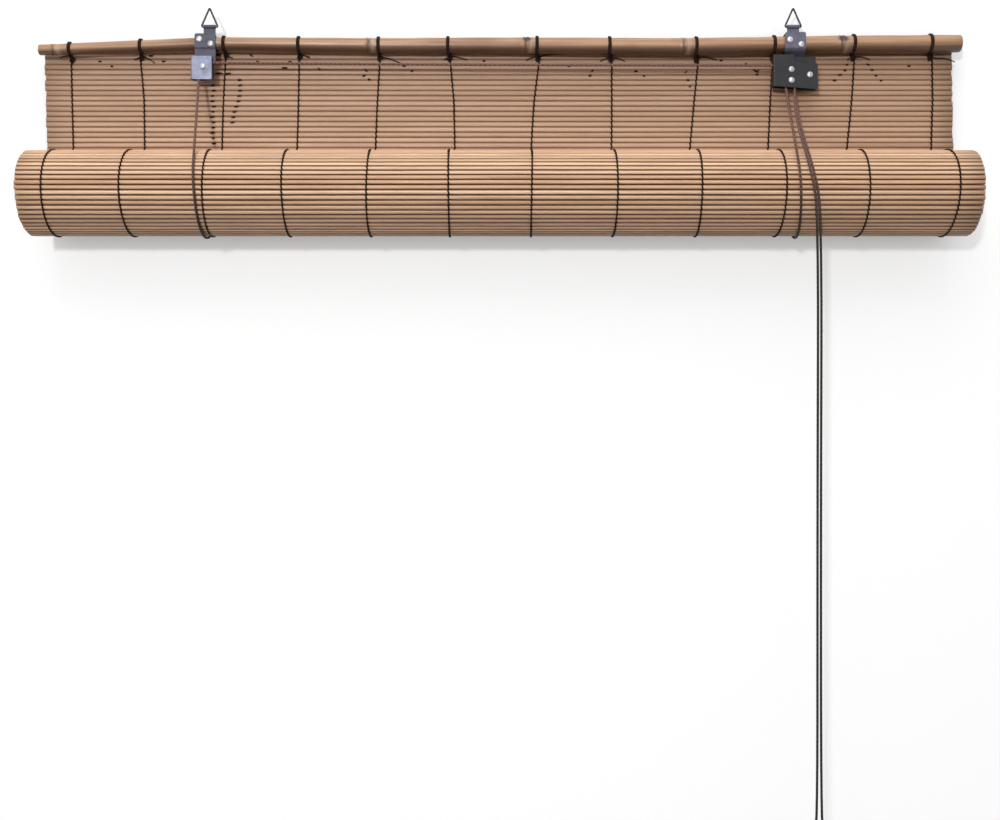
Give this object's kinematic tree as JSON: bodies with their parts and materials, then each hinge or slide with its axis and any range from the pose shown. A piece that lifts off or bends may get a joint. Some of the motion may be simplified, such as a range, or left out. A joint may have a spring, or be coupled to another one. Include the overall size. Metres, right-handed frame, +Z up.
{
  "type": "bamboo roll up blind",
  "caption": "Bamboo slat blind drawn up to a roll under a bamboo pole, with hanging rings, a cord pulley and a cord lock",
  "frame": {"origin": "on the hanging line, at the inner top of the two wire rings, halfway between the hangers", "axes": "+X along the pole to the right, +Z up, -Y towards the room"},
  "size_m": [0.806, 0.0905, 0.771],
  "materials": {
    "bamboo_cane": "smooth natural cane, brown, with darker joint rings",
    "bamboo_slats": "split bamboo skin, matt with a slight sheen",
    "rod_wood": "plain wood",
    "warp_cotton": "twisted cotton thread",
    "strap_steel": "blued steel sheet, semi gloss",
    "ring_wire": "drawn wire",
    "rivet_steel": "bright rivets",
    "housing_steel": "zinc plated sheet",
    "lock_paint": "dark enamel, semi gloss",
    "pulley_plastic": "moulded",
    "pawl_brass": "turned and cut brass",
    "lift_cord": "braided cord, mauve brown",
    "pull_cord": "braided cord, near black"
  },
  "bodies": {
    "blind": {"bamboo_pole": "bamboo_cane", "bottom_rod": "rod_wood", "cord_lock_anvil": "pawl_brass", "cord_lock_housing": "lock_paint", "cord_lock_rivets": "rivet_steel", "hank_tie": "pull_cord", "left_hanger_strap": "strap_steel", "left_lift_cord": "lift_cord", "left_pull_cord": "pull_cord", "left_pulley_axle": "rivet_steel", "left_pulley_housing": "housing_steel", "left_strap_rivets": "rivet_steel", "pull_cord_hank": "pull_cord", "pull_cord_knot": "pull_cord", "right_hanger_strap": "strap_steel", "right_lift_cord": "lift_cord", "right_pull_cord": "pull_cord", "right_strap_rivets": "rivet_steel", "slat_mat": "bamboo_slats", "warp_thread_01": "warp_cotton", "warp_thread_02": "warp_cotton", "warp_thread_03": "warp_cotton", "warp_thread_04": "warp_cotton", "warp_thread_05": "warp_cotton", "warp_thread_06": "warp_cotton", "warp_thread_07": "warp_cotton", "warp_thread_08": "warp_cotton", "warp_thread_09": "warp_cotton", "warp_thread_10": "warp_cotton", "warp_thread_11": "warp_cotton", "warp_thread_12": "warp_cotton"},
    "left_ring": {"left_hanging_ring": "ring_wire"},
    "right_ring": {"right_hanging_ring": "ring_wire"},
    "left_wheel": {"left_pulley": "pulley_plastic"},
    "lock_wheel": {"cord_lock_pulley": "pulley_plastic"},
    "pawl": {"cord_lock_pawl": "pawl_brass"}
  },
  "joints": [
    {"name": "left_ring_swing", "type": "hinge", "parent": "blind", "child": "left_ring", "pos_m": [-0.2541, 0, -0.0152], "axis": [1, 0, 0], "range_deg": [-90, 90]},
    {"name": "right_ring_swing", "type": "hinge", "parent": "blind", "child": "right_ring", "pos_m": [0.2565, 0, -0.0152], "axis": [1, 0, 0], "range_deg": [-90, 90]},
    {"name": "left_pulley_spin", "type": "hinge", "parent": "blind", "child": "left_wheel", "pos_m": [-0.2579, -0.0064, -0.0525], "axis": [0, -1, 0], "continuous": true},
    {"name": "lock_pulley_spin", "type": "hinge", "parent": "blind", "child": "lock_wheel", "pos_m": [0.2526, -0.006, -0.0552], "axis": [0, -1, 0], "continuous": true},
    {"name": "lock_pawl_swing", "type": "hinge", "parent": "blind", "child": "pawl", "pos_m": [0.2685, -0.006, -0.0598], "axis": [0, -1, 0], "range_deg": [0, 40]}
  ]
}
